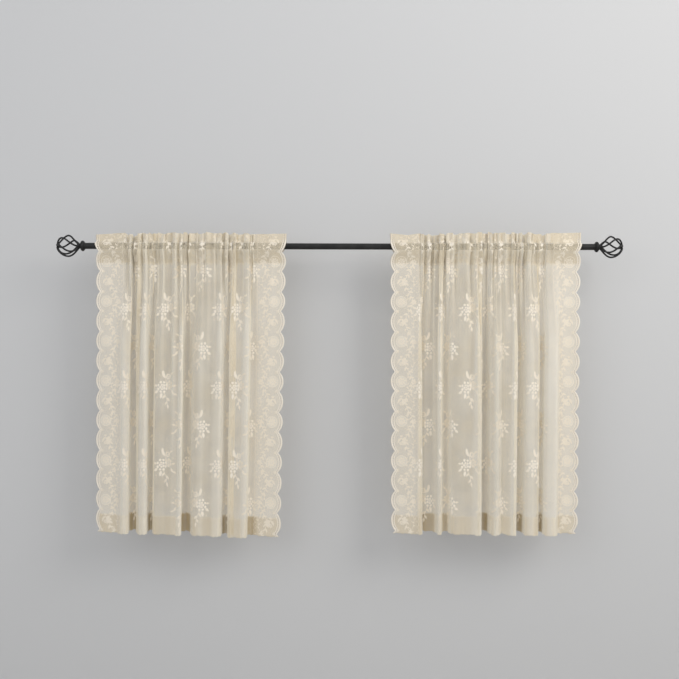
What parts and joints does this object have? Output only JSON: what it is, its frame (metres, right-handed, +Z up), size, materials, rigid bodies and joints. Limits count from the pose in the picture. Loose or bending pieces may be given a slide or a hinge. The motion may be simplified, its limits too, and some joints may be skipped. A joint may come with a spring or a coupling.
{
  "type": "lace tier curtain pair on a curtain rod",
  "caption": "Pair of short lace curtains with ruffled rod-pocket headings, hems and scalloped side borders, gathered on one black rod with twisted wire cage finials.",
  "frame": {"origin": "on the rod's axis, half-way along the rod", "axes": "+Z up, +X along the rod to the right as seen from the room, -Y towards the room"},
  "size_m": [1.7292, 0.0656, 0.9295],
  "materials": {
    "lace": "sheer woven net with denser lace motifs, matt",
    "rod_finish": "black satin paint"
  },
  "bodies": {
    "root": {"panel_left": "lace", "panel_right": "lace", "rod": "rod_finish", "finial_collar_left": "rod_finish", "finial_collar_right": "rod_finish", "finial_cage_left": "rod_finish", "finial_cage_right": "rod_finish"}
  },
  "joints": []
}
